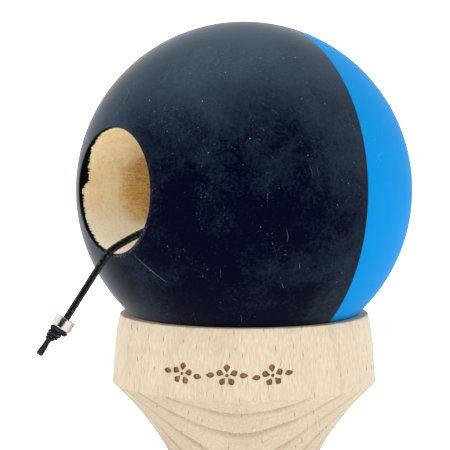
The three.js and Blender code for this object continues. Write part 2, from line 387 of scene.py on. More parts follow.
def turned(name, rows, origin, way, first, angles, closed=False, shape=None):
    """rows of (radius, height) turned about the line through origin along way; first is where angle 0 is.
    shape may change the radii and heights, which it gets with the angles as whole grids."""
    second = np.cross(way, first)
    radii, turn = np.meshgrid(rows[:, 0], angles, indexing="ij")
    heights = np.repeat(rows[:, 1][:, None], len(angles), axis=1)
    if shape:
        radii, heights = shape(radii, heights, turn)
    rings = []
    for row, (radius, height, angle) in enumerate(zip(radii, heights, turn)):
        if rows[row, 0] < 1e-9:
            rings.append(np.array([origin + way * height[0]]))
            continue
        spoke = np.cos(angle)[:, None] * first + np.sin(angle)[:, None] * second
        rings.append(origin + radius[:, None] * spoke + height[:, None] * way)
    return ring_mesh(name, rings, closed)


def even_angles(count):
    return np.linspace(0, 2 * math.pi, count, endpoint=False)


def carve(piece, *tools):
    """Cuts the tools out of the piece, and removes them."""
    for tool in tools:
        cut = piece.modifiers.new("cut", "BOOLEAN")
        cut.object = tool
        cut.operation = "DIFFERENCE"
        cut.solver = "EXACT"
    bpy.context.view_layer.update()
    evaluated = piece.evaluated_get(bpy.context.evaluated_depsgraph_get())
    mesh = bpy.data.meshes.new_from_object(evaluated)
    piece.modifiers.clear()
    old = piece.data
    piece.data = mesh
    bpy.data.meshes.remove(old)
    for tool in tools:
        bpy.data.objects.remove(tool)
    mesh.polygons.foreach_set("use_smooth", np.ones(len(mesh.polygons), bool))


X, Y, Z = np.eye(3)
CROSS_AXIS = np.array((CROSS_X, 0, 0))
KEN_AXIS = np.array((CROSS_X, 0, WAIST_Z))

# Three small ornaments, burnt into the front of the big cup: a flower of five petals between two leaves.
ORNAMENT_Z = 62.0
ORNAMENT_TURNS = [math.radians(a) for a in (-27.4, -7.3, 12.4)]
ORNAMENT_TILTS = [math.radians(a) for a in (-7, 0, 7)]
ORNAMENT_DEPTH = 0.3
PETALS = 5
PETAL_ENDS = (0.42, 1.95)
PETAL_HALF_WIDTH = 0.56
LEAF_ENDS = (2.2, 3.75)
LEAF_HALF_WIDTH = 0.48
WALL_R = 23.3  # the big cup's wall where the ornaments are
WALL_TOP = 5.6  # the fine rows' start, below the rim


def lobe(along, side, ends, half_width, blunt):
    """How deep a point lies inside a petal or leaf between two ends; below 0 is outside."""
    reach = np.clip((along - ends[0]) / (ends[1] - ends[0]), 0, 1)
    return half_width * np.sin(math.pi * reach**blunt) - np.abs(side)


def ornament(across, up):
    """How deep inside one ornament's outline a point lies, in millimetres; below 0 is outside."""
    inside = 0.3 - np.hypot(across, up)
    for i in range(PETALS):
        turn = math.pi / 2 + i * 2 * math.pi / PETALS
        along = across * math.cos(turn) + up * math.sin(turn)
        side = -across * math.sin(turn) + up * math.cos(turn)
        inside = np.maximum(inside, lobe(along, side, PETAL_ENDS, PETAL_HALF_WIDTH, 1.5))
    return np.maximum(inside, lobe(np.abs(across), up, LEAF_ENDS, LEAF_HALF_WIDTH, 0.8))


def burn_at(turn, height):
    """0 on bare wood to 1 on an ornament's floor, for angles about the cross-piece and heights."""
    burn = np.zeros(turn.shape)
    from_front = (turn + math.pi / 2 + math.pi) % (2 * math.pi) - math.pi
    for place, tilt in zip(ORNAMENT_TURNS, ORNAMENT_TILTS):
        across = (from_front - place) * WALL_R
        up = height - ORNAMENT_Z
        level = across * math.cos(tilt) + up * math.sin(tilt)
        rise = -across * math.sin(tilt) + up * math.cos(tilt)
        edge = np.clip((ornament(level, rise) + 0.02) / 0.17, 0, 1)
        burn = np.maximum(burn, edge * edge * (3 - 2 * edge))
    return burn


def cross_outline():
    """The outline from the small cup up to the big one, in fine rows where the ornaments are."""
    seat_r = math.sqrt(BALL_R**2 - BALL_SINK**2) + 0.03
    wall = []
    for i in reversed(range(40)):
        z = RIM_Z - WALL_TOP - 0.12 * i
        if z > RIDGE_Z + 0.8:
            slope = 0.45 * (1 - (z - RIDGE_Z) / 6.2) * (z < RIM_Z - WALL_TOP - 0.5)
            wall.append((RIM_R + 0.95 + slope, z))
    lower = SMALL_RIDGE_R - 0.4, SMALL_RIDGE_Z + 0.5
    waist = WAIST_R, WAIST_Z
    upper = RIDGE_R - 0.25, RIDGE_Z - 0.25
    return outline(
        (0, SMALL_CUP_DEPTH),
        (SMALL_RIM_R - 9, SMALL_CUP_DEPTH - 1, 5),
        (SMALL_RIM_R - 1.8, 0, 0.25),
        (SMALL_RIM_R, 0, 0.35),
        (SMALL_RIM_R + 0.7, SMALL_RIDGE_Z / 2, 8),
        (SMALL_RIDGE_R, SMALL_RIDGE_Z, 0.35),
        *bend(lower, (SMALL_RIDGE_R - 5, SMALL_RIDGE_Z + 5), (WAIST_R, WAIST_Z - 9), waist),
        *bend(waist, (WAIST_R, WAIST_Z + 9), (RIDGE_R - 5.8, RIDGE_Z - 5.5), upper)[1:],
        (RIDGE_R, RIDGE_Z + 0.1, 0.2),
        *wall,
        (RIM_R + 0.66, RIM_Z - 3.5),
        (RIM_R + 0.36, RIM_Z - 1.6),
        (RIM_R, RIM_Z, 0.3),
        (seat_r, RIM_Z - 0.05, 0.12),
        (seat_r - 4.4, RIM_Z - 5.6, 4),
        (seat_r - 10.5, CUP_FLOOR_Z + 2.6, 4),
        (6, CUP_FLOOR_Z, 3),
        (0, CUP_FLOOR_Z),
    )


def store_burn(piece):
    points = np.empty(len(piece.data.vertices) * 3)
    piece.data.vertices.foreach_get("co", points)
    points = points.reshape(-1, 3) / MM - CROSS_AXIS
    outside = np.hypot(points[:, 0], points[:, 1]) > WALL_R - 1.2
    burn = burn_at(np.arctan2(points[:, 1], points[:, 0]), points[:, 2]) * outside
    store(piece, "burn", burn)


def drill(frame_of_turn, *corners):
    """A turned shape at the middle of the handle's joint, to cut with."""
    return turned("drill", outline(*corners, step=60), KEN_AXIS, *frame_of_turn)


def make_cross_piece():
    front = -math.pi / 2
    fine = np.arange(math.radians(-39), math.radians(24), 0.13 / WALL_R) + front
    rest = np.linspace(fine[-1], fine[0] + 2 * math.pi, 150)[1:-1]
    angles = np.concatenate([fine, rest])

    def shape(radii, heights, turn):
        burn = burn_at(turn, heights) * (radii > WALL_R - 1.2)
        uneven = 0.035 * np.sin(3 * turn + 0.7) + 0.02 * np.sin(7 * turn + heights * 0.2)
        body = np.clip(radii / 5, 0, 1) * (np.abs(heights - RIM_Z) > 0.4)
        return radii - ORNAMENT_DEPTH * burn + uneven * body * 0.5, heights

    piece = turned("cross_piece_beech", cross_outline(), CROSS_AXIS, Z, X, angles, shape=shape)
    bore_r = STEM_R + 0.3
    bore = drill(
        (X, Y, even_angles(96)),
        (0, -30),
        (SHOULDER_R + 0.7, -30),
        (SHOULDER_R + 0.7, -12.7, 0.2),
        (bore_r, -9.9, 0.1),
        (bore_r, WAIST_R - 0.2, 0.2),
        (bore_r + 12, WAIST_R + 11.8),
        (0, WAIST_R + 11.8),
    )
    hole = drill((Y, Z, even_angles(32)), (0, 0), (CORD_HOLE_R, 0), (CORD_HOLE_R, 22), (0, 22))
    carve(piece, bore, hole)
    store_burn(piece)
    mark_sharp(piece)
    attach(piece, "root")
    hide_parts("cross_piece")
    return piece


def make_ken():
    base = BASE_X
    rows = outline(
        (0, base + BASE_CUP_DEPTH),
        (BASE_RIM_R - 8.5, base + BASE_CUP_DEPTH - 1, 5),
        (BASE_RIM_R - 1.7, base, 0.25),
        (BASE_RIM_R, base, 0.35),
        (BASE_RIDGE_R, base + 8, 0.35),
        *bend((BASE_RIDGE_R - 0.4, base + 8.4), (15, base + 12), (9, base + 17), (8.6, base + 30)),
        (8.2, -52, 30),
        (8.7, -28, 30),
        (SHOULDER_R, -15, 6),
        (SHOULDER_R, -12.8, 0.2),
        (STEM_R, -10.2),
        (STEM_R, 10, 20),
        (STEM_R - 0.35, 24, 40),
        (TIP_R + 2.1, 44, 60),
        (TIP_R + 0.35, TIP_X - 5, 8),
        (TIP_R - 0.5, TIP_X - 1.6, 2.5),
        (TIP_R - 1.9, TIP_X - 0.3, 1.2),
        (0, TIP_X),
    )
    piece = turned("ken_beech", rows, KEN_AXIS, X, Y, even_angles(144))
    carve(piece, drill((Y, Z, even_angles(32)), (0, -15), (KNOT_HOLE_R, -15), (KNOT_HOLE_R, 15), (0, 15)))
    mark_sharp(piece)
    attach(piece, "root")
    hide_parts("ken")
    return piece


# The ball.
def ball_arc(radius, start, end, step=0.02):
    """Rows on a circle about the ball's centre, between two angles from the bore's mouth."""
    count = max(2, math.ceil(abs(end - start) / step))
    angles = np.linspace(start, end, count + 1)
    return [(radius * math.sin(a), radius * math.cos(a)) for a in angles]


MOUTH = math.asin(MOUTH_R / BALL_R)
SPLIT = math.acos(-COAT_SPLIT)
MOUTH_H = BALL_R * math.cos(MOUTH)
FLOOR_H = MOUTH_H - BORE_DEPTH
STRING_END = math.pi - math.asin(STRING_HOLE_R / BALL_R)

LAP_SWELLS = [  # where it is deeper: angle and width in degrees, and depth
    (151, 9, 0.3),
    (165, 8, 1.0),
    (175, 6, 1.0),
    (232, 14, 0.15),
]
LAP_DEPTH = 0.24
LAP_TEETH = 0.72
LAP_CLUMPS = 0.2
LAP_LIMITS = 0.04, 2.3


def ragged(turn):
    """How far the navy coat laps into the bore, in millimetres, by the angle about the bore."""
    depth = LAP_DEPTH + 0.04 * np.sin(7 * turn + 2.1) + 0.04 * np.sin(19 * turn + 0.2)
    for place, width, size in LAP_SWELLS:
        depth += size * np.exp(-(((np.degrees(turn) - place) / width) ** 2))
    steps = len(turn)
    teeth = np.random.default_rng(5).random(steps // 2 + 2)
    teeth = np.interp(np.arange(steps) / 2, np.arange(len(teeth)), teeth)
    clumps = np.repeat(np.random.default_rng(8).random(steps // 8), 8)
    return np.clip(depth + LAP_TEETH * (teeth - 0.5) + LAP_CLUMPS * (clumps - 0.5), *LAP_LIMITS)


def make_navy():
    """The navy coat: its outside, its lip, a ragged film that laps into the bore, and its underside."""
    lap = 12
    back_r = BORE_R + 0.06
    wall_r = BORE_R - 0.07
    lip_h = MOUTH_H - 0.36
    seam = SPLIT - 0.0012
    outside = ball_arc(BALL_R, seam, MOUTH)
    start = np.array(outside[-1])
    slope = unit((-math.cos(MOUTH), math.sin(MOUTH)))
    lip = bend(start, start + slope * 0.22, (wall_r, lip_h + 0.2), (wall_r, lip_h), 10)[1:]
    inside = [(wall_r, lip_h - k / lap) for k in range(1, lap + 1)]
    back = [(back_r, MOUTH_H - 1.4), (back_r, MOUTH_H - 0.9)]
    under = ball_arc(BALL_R - COAT, MOUTH, seam)
    rows = np.array([*outside, *lip, *inside, *back, *under])
    first_lap = len(outside) + len(lip)

    def shape(radii, heights, turn):
        reach = ragged(turn[0])
        for k in range(lap):
            heights[first_lap + k] = lip_h - reach * (k + 1) / lap
        heights[first_lap + lap] = lip_h - reach
        radii[first_lap + lap - 1] += 0.03
        return radii, heights

    angles = even_angles(800)
    piece = turned("navy_coat_skin", rows, BALL, MOUTH_WAY, SIDE_WAY, angles, closed=True, shape=shape)
    mark_sharp(piece, 50)
    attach(piece, "ball")
    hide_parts("navy_coat")
    return piece


def make_blue():
    """The blue coat, with a slightly rolled edge along the seam."""
    edge = 0.0035
    outside = ball_arc(BALL_R, STRING_END, SPLIT + edge)

    def at(radius, angle):
        return radius * math.sin(angle), radius * math.cos(angle)

    handles = at(BALL_R, SPLIT + edge / 3), at(BALL_R - 0.05, SPLIT)
    rolled = bend(outside[-1], *handles, at(BALL_R - 0.14, SPLIT), 5)[1:]
    under = ball_arc(BALL_R - COAT, SPLIT, STRING_END)
    rows = np.array([*outside, *rolled, *under])
    piece = turned("blue_coat_skin", rows, BALL, MOUTH_WAY, SIDE_WAY, even_angles(256), closed=True)
    mark_sharp(piece, 50)
    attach(piece, "ball")
    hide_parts("blue_coat")
    return piece


def make_core():
    """The wooden ball, with marks of the drill on its bore's wall."""
    core_r = BALL_R - COAT - 0.05
    shell = ball_arc(core_r, STRING_END, math.asin(BORE_R / core_r) + 0.004, 0.04)
    bore = outline(
        shell[-1],
        (BORE_R, MOUTH_H - 0.7, 0.2),
        (BORE_R, FLOOR_H + 1.5, 1.0),
        (BORE_R - 1.5, FLOOR_H, 0.6),
        (STRING_HOLE_R + 0.25, FLOOR_H - 0.6, 0.3),
        (STRING_HOLE_R, FLOOR_H - 1.1, 0.2),
        shell[0],
        step=0.35,
    )[1:-1]
    rows = np.array([*shell, *bore])

    def shape(radii, heights, turn):
        wall = (np.abs(radii - BORE_R) < 0.05) & (heights < MOUTH_H - 1)
        chatter = np.sin(61 * turn + 1.7 * np.sin(heights * 0.45)) * np.clip((14 - heights) / 20, 0, 1)
        scallops = np.sin(heights * 5.2 + 0.8 * np.sin(2 * turn)) * 0.006
        return radii + wall * (0.018 * chatter + scallops), heights

    angles = even_angles(360)
    piece = turned("ball_core_beech", rows, BALL, MOUTH_WAY, SIDE_WAY, angles, closed=True, shape=shape)
    mark_sharp(piece, 50)
    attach(piece, "ball")
    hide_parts("ball_core")
    return piece


# On the cord.
def make_bead():
    half = BEAD_LENGTH / 2
    rows = outline(
        (BEAD_BORE_R, 0),
        (BEAD_BORE_R, -half, 0.12),
        (BEAD_R, -half, 0.16),
        (BEAD_R, half, 0.16),
        (BEAD_BORE_R, half, 0.12),
        (BEAD_BORE_R, 0.01),
        step=0.25,
    )
    centre = HANG_START + HANG_WAY * BEAD_AT
    first = unit(np.cross(HANG_WAY, Y))
    piece = turned("stop_bead_steel", rows, centre, HANG_WAY, first, even_angles(96), closed=True)
    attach(piece, "bead")
    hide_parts("stop_bead")
    return piece


def wrap(centre, way, first, radius, tilt, start, sweep, climb=0.3):
    """Points of one loop round way, tilted, whose two ends pass each other."""
    second = np.cross(way, first)
    points = []
    count = int(sweep / 0.4)
    for k in range(count + 1):
        angle = start + sweep * k / count
        rise = tilt * math.sin(angle) + climb * (k / count - 0.5)
        points.append(centre + radius * (math.cos(angle) * first + math.sin(angle) * second) + rise * way)
    return points


KNOT_WRAPS = [  # how far along the cord and to its side, radius, tilt, start, sweep, climb
    ((0.37, 0), 0.5, 0.0, 1.8, 2.9, 0.0),
    ((0.37, 0), 1.22, 0.0, 4.9, 6.0, 0.05),
    ((1.15, -0.3), 0.8, 0.05, 4.9, 6.0, 0.15),
    ((1.72, -0.42), 0.66, -0.06, 4.9, 6.2, 0.15),
    ((2.25, -0.55), 0.38, -0.05, 4.9, 6.2, 0.2),
]


def make_end_knot():
    """The stopper knot: a wide wrap against the bead, smaller ones below it, and the melted tail."""
    origin = HANG_START + HANG_WAY * KNOT_AT
    first = unit(np.cross(HANG_WAY, Y))
    second = np.cross(HANG_WAY, first)
    strand_r = 0.46

    def at(along, side, depth=0.0):
        return origin + along * HANG_WAY + side * first + depth * second

    points = [
        at(2.5, -0.5),
        at(1.5, -0.35),
        at(0.75, -0.1, 0.2),
        *(p for place, *loop in KNOT_WRAPS for p in wrap(at(*place), HANG_WAY, first, *loop)),
        at(2.75, -0.6, -0.05),
        *(at(along, -0.62 + 0.03 * math.sin(along * 2)) for along in (3.3, 4.0, 4.8, 5.75)),
    ]
    line = smooth_line(points, 0.09)
    plain = braid(1.0)

    def surface_at(distance, total):
        angles, radii, crown = plain(distance, total)
        left = total - distance
        swell = 0.34 * math.exp(-(((left - 0.6) / 1.3) ** 2))
        closing = 0.42 * math.exp(-left / 0.1)
        melted = math.exp(-((left / 0.5) ** 2))
        radii = strand_r * (1.03 + swell - closing) * (radii * (1 - melted) + 0.97 * melted)
        return angles, radii, crown * (1 - melted) + melted

    piece = tube("end_knot_wraps", line, surface_at)
    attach(piece, "string_end")
    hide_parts("end_knot")
    return piece


def make_lock_knot():
    """The knot hidden in the handle's cross hole."""
    origin = KEN_AXIS + Y * -0.9
    points = [
        origin,
        *wrap(origin + Y * 0.5, Y, Z, 0.95, 0.1, 0, 6.9),
        *wrap(origin + Y * 1.5, Y, Z, 0.95, 0.2, 0.9, 6.6),
        origin + Y * 3.0,
    ]
    piece = tube("lock_knot_wraps", smooth_line(points, 0.16), braid(0.5, 16))
    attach(piece, "root")
    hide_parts("lock_knot")
    return piece


def make_tie():
    """A woven band round one side of the coil."""
    low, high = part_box("coil_tie")
    low, high = np.array(low) / MM, np.array(high) / MM
    half = (high - low) / 2
    centre = (low + high) / 2
    thick = 0.3
    corner = 0.7
    flat = half - corner - thick / 2
    loop = []
    for sign_x, sign_z, start in ((1, -1, -90), (1, 1, 0), (-1, 1, 90), (-1, -1, 180)):
        for k in range(7):
            angle = math.radians(start + 15 * k)
            x = centre[0] + sign_x * flat[0] + corner * math.cos(angle)
            z = centre[2] + sign_z * flat[2] + corner * math.sin(angle)
            loop.append((x, centre[1], z))
    inward = centre - np.array(loop)
    inward /= np.linalg.norm(inward, axis=1)[:, None]
    rings = []
    for point, way in zip(loop, inward):
        ring = []
        for k in range(16):
            angle = 2 * math.pi * k / 16
            across = half[1] * np.sign(math.cos(angle)) * abs(math.cos(angle)) ** 0.35
            depth = thick / 2 * np.sign(math.sin(angle)) * abs(math.sin(angle)) ** 0.7
            ring.append(point + Y * across - way * depth)
        rings.append(np.array(ring))
    piece = ring_mesh("coil_tie_band", rings, closed=True)
    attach(piece, "root")
    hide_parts("coil_tie")
    return piece


# Materials. The places are in millimetres, and the colours are linear.
class Nodes:
    """A node tree. add() makes a node, with its inputs by name or number, and gives one output."""

    def __init__(self, tree):
        self.tree = tree

    def add(self, kind, inputs=None, out=0, **settings):
        node = self.tree.nodes.new("ShaderNode" + kind)
        for key, value in settings.items():
            setattr(node, key, value)
        for key, value in (inputs or {}).items():
            self.join(value, node.inputs[key])
        return node.outputs[out]

    def join(self, value, socket):
        if isinstance(value, bpy.types.NodeSocket):
            self.tree.links.new(value, socket)
        else:
            socket.default_value = value

    def math(self, operation, *values, clamp=False):
        return self.add("Math", dict(enumerate(values)), operation=operation, use_clamp=clamp)

    def times(self, *values):
        return self.math("MULTIPLY", *values)

    def larger(self, *values):
        return self.math("MAXIMUM", *values)

    def absolute(self, value):
        return self.math("ABSOLUTE", value)

    def vector(self, operation, *values, out=0):
        return self.add("VectorMath", dict(enumerate(values)), out=out, operation=operation)

    def length(self, vector):
        return self.vector("LENGTH", vector, out=1)

    def reach(self, point, way):
        """How far a point lies along a constant direction."""
        return self.vector("DOT_PRODUCT", point, tuple(way), out=1)

    def scaled(self, way, length):
        """A constant direction times a changing length."""
        return self.add("VectorMath", {0: tuple(way), 3: length}, operation="SCALE")

    def remap(self, value, low, high, to_low=0.0, to_high=1.0, kind="SMOOTHSTEP"):
        inputs = {0: value, 1: low, 2: high, 3: to_low, 4: to_high}
        return self.add("MapRange", inputs, interpolation_type=kind)


class Look(Nodes):
    """A procedural material, whose shader's fixed values are given by name."""

    def __init__(self, name, **sockets):
        self.material = bpy.data.materials.new(name)
        self.material.use_nodes = True
        super().__init__(self.material.node_tree)
        self.shader = self.tree.nodes["Principled BSDF"]
        for key, value in sockets.items():
            self.shader.inputs[key.replace("_", " ").title().replace("Ior", "IOR")].default_value = value

    def mix(self, factor, a, b):
        return self.add("Mix", {0: factor, 6: a, 7: b}, out=2, data_type="RGBA")

    def spun(self, vector, turn, scale=1.0, **settings):
        """A vector scaled, and turned by angles in degrees."""
        angles = tuple(math.radians(a) for a in turn)
        return self.add("Mapping", {0: vector, 2: angles, 3: (scale, scale, scale)}, **settings)

    def place(self, turn=(0, 0, 0)):
        """Object coordinates in millimetres, turned."""
        return self.spun(self.add("TexCoord", out=3), turn, 1 / MM)

    def noise(self, vector, scale, detail=2.0, roughness=0.5, distortion=0.0):
        inputs = {"Vector": vector, "Scale": scale, "Detail": detail}
        inputs.update({"Roughness": roughness, "Distortion": distortion})
        return self.add("TexNoise", inputs)

    def streaks(self, vector, scales, *details):
        """Noise with its own scale along each axis."""
        return self.noise(self.vector("MULTIPLY", vector, scales), 1.0, *details)

    def shaken(self, vector, scale, sway, **details):
        """A place, shifted by up to sway along each axis, in waves that scale sets."""
        wobble = self.add("TexNoise", {"Vector": vector, "Scale": scale, **details}, out=1)
        return self.vector("ADD", vector, self.vector("MULTIPLY", wobble, (sway, sway, sway)))

    def spindles(self, vector, cell, size, share, flat=False):
        """Thin marks scattered one to a cell, with half sizes `size`, on a share of the cells."""
        scaled = self.vector("MULTIPLY", vector, tuple(1 / c for c in cell))
        inputs = {"Vector": scaled, "Scale": 1.0}
        middle = self.add("TexVoronoi", inputs, "Position", voronoi_dimensions="2D" if flat else "3D")
        away = self.vector("SUBTRACT", scaled, middle)
        stretch = tuple(c / s for c, s in zip(cell, size))
        body = self.remap(self.length(self.vector("MULTIPLY", away, stretch)), 1.0, 0.45)
        chance = self.add("SeparateColor", {0: middle.node.outputs["Color"]})
        return self.times(body, self.remap(chance, 1 - share, 1 - share * 0.5))

    def along_fibre(self, turn):
        """How far the surface faces along the fibres, -1 to 1."""
        normal = self.spun(self.add("TexCoord", out=1), turn, vector_type="NORMAL")
        return self.add("SeparateXYZ", {0: normal}, out=2)

    def bump(self, height, distance):
        return self.add("Bump", {"Height": height, "Distance": distance * MM, "Strength": 1.0})

    def done(self, color, roughness=None, normal=None):
        for name, value in (("Base Color", color), ("Roughness", roughness), ("Normal", normal)):
            if value is not None:
                self.join(value, self.shader.inputs[name])
        return self.material


def beech(name, pith, turn=(0, 0, 0), ring_step=3.45, ring_shift=0.0, burnt=False):
    """Bare beech: fibres along Z, growth rings round the pith, in the turned coordinates."""
    pale = (0.625, 0.53, 0.40, 1)
    warm = (0.585, 0.485, 0.355, 1)
    late_tone = (0.37, 0.255, 0.15, 1)
    fleck_tone = (0.33, 0.175, 0.085, 1)
    wool_dark = (0.49, 0.38, 0.265, 1)
    wool_light = (0.70, 0.62, 0.50, 1)
    late_from, late_peak = 0.62, 0.965  # in parts of a ring's width
    thin_from, thin_peak, thin_to = 0.42, 0.50, 0.56
    thin_share = 0.2
    look = Look(name, roughness=0.6, specular_ior_level=0.3, sheen_weight=0.1, sheen_roughness=0.4)
    grain = look.place(turn)
    end_grain = look.absolute(look.along_fibre(turn))
    warp = look.streaks(grain, (0.07, 0.07, 0.01), 2.0)
    flat = look.vector("MULTIPLY", look.vector("SUBTRACT", grain, (*pith, 0)), (1, 1, 0))
    run = look.math("MULTIPLY_ADD", warp, 2.2, look.length(flat))
    ring = look.math("FRACT", look.math("DIVIDE", look.math("ADD", run, ring_shift), ring_step))
    late = look.times(look.remap(ring, late_from, late_peak), look.remap(ring, 1.0, late_peak))
    thin = look.times(look.remap(ring, thin_from, thin_peak), look.remap(ring, thin_to, thin_peak))
    late = look.larger(late, look.times(thin, thin_share))
    fade = look.streaks(grain, (0.15, 0.15, 0.05), 2.0)
    late = look.times(late, look.remap(fade, 0.3, 0.65, 0.45, 1.0))
    late = look.times(late, look.remap(end_grain, 0.1, 0.6, 0.20, 0.85))
    wool = look.streaks(grain, (3.4, 3.4, 0.55), 5.0, 0.62)
    cloud = look.streaks(grain, (0.10, 0.10, 0.035), 3.0)
    shaken = look.shaken(grain, 0.6, 0.9)
    fleck = look.spindles(shaken, (1.15, 5.0, 2.5), (0.08, 2.4, 0.75), 0.8)
    small = look.vector("ADD", shaken, (3.3, 1.7, 9.1))
    speck = look.spindles(small, (0.8, 3.0, 1.9), (0.06, 1.6, 0.42), 0.5)
    color = look.mix(look.remap(cloud, 0.3, 0.7), pale, warm)
    color = look.mix(late, color, late_tone)
    color = look.mix(look.remap(wool, 0.40, 0.66, 0.0, 0.34), color, wool_dark)
    color = look.mix(look.remap(wool, 0.52, 0.32, 0.0, 0.5), color, wool_light)
    color = look.mix(look.times(speck, 0.30), color, fleck_tone)
    color = look.mix(look.times(fleck, 0.95), color, fleck_tone)
    height = look.math("MULTIPLY_ADD", fleck, -0.6, wool)
    if burnt:
        charred = (0.33, 0.17, 0.095, 1), (0.17, 0.075, 0.035, 1)
        edge_tone = (0.055, 0.021, 0.01, 1)
        burn = look.add("Attribute", out=2, attribute_name="burn")
        char = look.streaks(grain, (4, 4, 1.4), 3.0, 0.6)
        floor = look.mix(look.remap(char, 0.35, 0.65), *charred)
        deep = look.mix(look.remap(burn, 0.55, 0.98), edge_tone, floor)
        color = look.mix(look.remap(burn, 0.05, 0.4), color, deep)
        height = look.math("MULTIPLY_ADD", look.times(char, burn), 2.5, height)
    return look.done(color, look.remap(wool, 0.2, 0.8, 0.52, 0.68), look.bump(height, 0.04))


# A faint pale circle on the bore's wall: its middle along the bore, its middle upwards, and its radius.
PALE_ARC_ALONG = 26.9
PALE_ARC_UP = -0.3
PALE_ARC_R = 7.05


def bore_beech():
    """The beech of the ball: torn, fuzzy fibres in the bore, a browner patch deeper in, part end grain and
    part painted shade, and a paler lower wall that is painted light.
    """
    wall_tones = (0.90, 0.705, 0.39, 1), (0.94, 0.795, 0.525, 1)
    painted_light_tone = (1.0, 0.95, 0.79, 1)
    brown_and_shade_tone = (0.84, 0.48, 0.14, 1)
    ripple_tone = (0.42, 0.19, 0.05, 1)
    fuzz_dark = (0.64, 0.42, 0.19, 1)
    fuzz_light = (0.97, 0.86, 0.66, 1)
    mark_tone = (0.98, 0.92, 0.78, 1)
    brown_along = 22.6, 16.4
    brown_level = 9.6, 5.4
    look = Look("beech_of_ball", roughness=0.8, specular_ior_level=0.2)
    place = look.place()
    from_heart = look.vector("SUBTRACT", place, tuple(BALL))
    along = look.reach(from_heart, MOUTH_WAY)
    up = look.reach(from_heart, UP_WAY)
    blotch = look.noise(place, 0.32, 3.0)
    fuzz = look.streaks(place, (2.6, 2.6, 1.5), 5.0, 0.7, 0.6)
    squashed = look.vector("ADD", place, look.scaled(MOUTH_WAY, look.times(along, -0.62)))
    torn = look.streaks(squashed, (2.3, 2.3, 3.0), 3.0, 0.55, 1.3)
    # browner deeper in the bore: end grain, and painted shade where less light reaches
    inward = look.remap(look.math("MULTIPLY_ADD", blotch, 4.0, along), *brown_along)
    level = look.remap(look.math("MULTIPLY_ADD", blotch, 3.0, look.absolute(up)), *brown_level)
    brown = look.times(inward, level)
    color = look.mix(look.remap(blotch, 0.3, 0.7), *wall_tones)
    # painted light: the lower wall, lit from above through the mouth, is made paler
    color = look.mix(look.remap(up, -2.0, -8.0), color, painted_light_tone)
    color = look.mix(look.times(brown, 0.9), color, brown_and_shade_tone)
    ripple = look.times(look.remap(torn, 0.5, 0.6), look.math("ADD", brown, 0.1))
    color = look.mix(look.times(ripple, 0.4), color, ripple_tone)
    color = look.mix(look.remap(fuzz, 0.5, 0.70, 0.0, 0.38), color, fuzz_dark)
    color = look.mix(look.remap(fuzz, 0.47, 0.30, 0.0, 0.65), color, fuzz_light)
    mark_along = look.math("SUBTRACT", along, PALE_ARC_ALONG)
    mark_up = look.math("SUBTRACT", up, PALE_ARC_UP)
    across = look.length(look.add("CombineXYZ", {0: mark_along, 1: mark_up}))
    off_mark = look.absolute(look.math("SUBTRACT", across, PALE_ARC_R))
    far_side = look.remap(look.reach(from_heart, SIDE_WAY), 0, -2)
    mark = look.times(look.remap(off_mark, 0.34, 0.05), far_side)
    mark = look.times(mark, look.remap(up, -4.0, -1.5))
    color = look.mix(look.times(mark, 0.28), color, mark_tone)
    height = look.math("MULTIPLY_ADD", ripple, -0.8, fuzz)
    return look.done(color, None, look.bump(height, 0.12))


# The coats' haze: distances from the ball's centre along a direction, where each haze starts and is full.
# The side haze is a painted sheen, least on the side facing the front; the coats are lighter towards the
# top, and darker towards the bottom as painted shade.
LEAST_SHEEN_WAY = unit((-0.10, -0.98, -0.12))
PAINTED_SHEEN_FADE = 29.3, 16
PAINTED_SHEEN_HAZE = 0.42
TOP_FADE = 12, 31
TOP_HAZE = 0.58
UNDER_SHADE_FADE = -10, -27
UNDER_PAINTED_SHADE = -0.36
MOTTLE_MIDDLE = 0.83
MOTTLE_SHARE = 1.05
SHORT_SCRATCHES = [  # how each family is turned, its cell, its half sizes, and its share of the cells
    ((90, 25, 0), (6.5, 11), (0.045, 2.6), 0.40),
    ((90, -38, 0), (7.5, 13), (0.04, 3.2), 0.38),
    ((90, 70, 0), (5.0, 9), (0.04, 2.0), 0.40),
    ((0, 20, 35), (8.0, 12), (0.045, 3.0), 0.38),
]
LONG_SCRATCHES = [  # two ends, from the ball's centre, and how strong
    ((-19.3, -21.3, -9.0), (-12.9, -23.2, -14.2), 0.26),
    ((-27.6, -5.4, 10.4), (-27.3, -8.4, 8.9), 0.45),
]
HALF_BALL = 20  # a point of the surface that lies further along a direction is on that direction's side
LIP_BAND = 0.6


def short_scratches(look, place):
    """Fine, slightly curved scratches, broken here and there."""
    curved = look.shaken(place, 0.12, 6, Detail=1.0)
    scratches = None
    for turn, cell, size, share in SHORT_SCRATCHES:
        flat = look.vector("MULTIPLY", look.spun(curved, turn), (1, 1, 0))
        scratch = look.spindles(flat, (*cell, 1), (*size, 1), share, flat=True)
        scratches = scratch if scratches is None else look.larger(scratches, scratch)
    return look.times(scratches, look.remap(look.noise(place, 1.1, 3.0), 0.45, 0.62))


def long_scratch(look, from_heart, grain, start, end, strength):
    """One scratch along a great circle of the ball, fading towards its two ends."""
    half = math.dist(start, end) / 2
    off = look.absolute(look.reach(from_heart, unit(np.cross(start, end))))
    run = look.absolute(look.reach(from_heart, unit(np.subtract(end, start))))
    here = look.math("GREATER_THAN", look.reach(from_heart, unit(np.add(start, end))), HALF_BALL)
    line = look.times(look.remap(off, 0.13, 0.04), look.remap(run, half, half * 0.6))
    line = look.times(line, look.remap(grain, 0.35, 0.55, 0.4, 1.0))
    return look.times(look.times(line, here), strength)


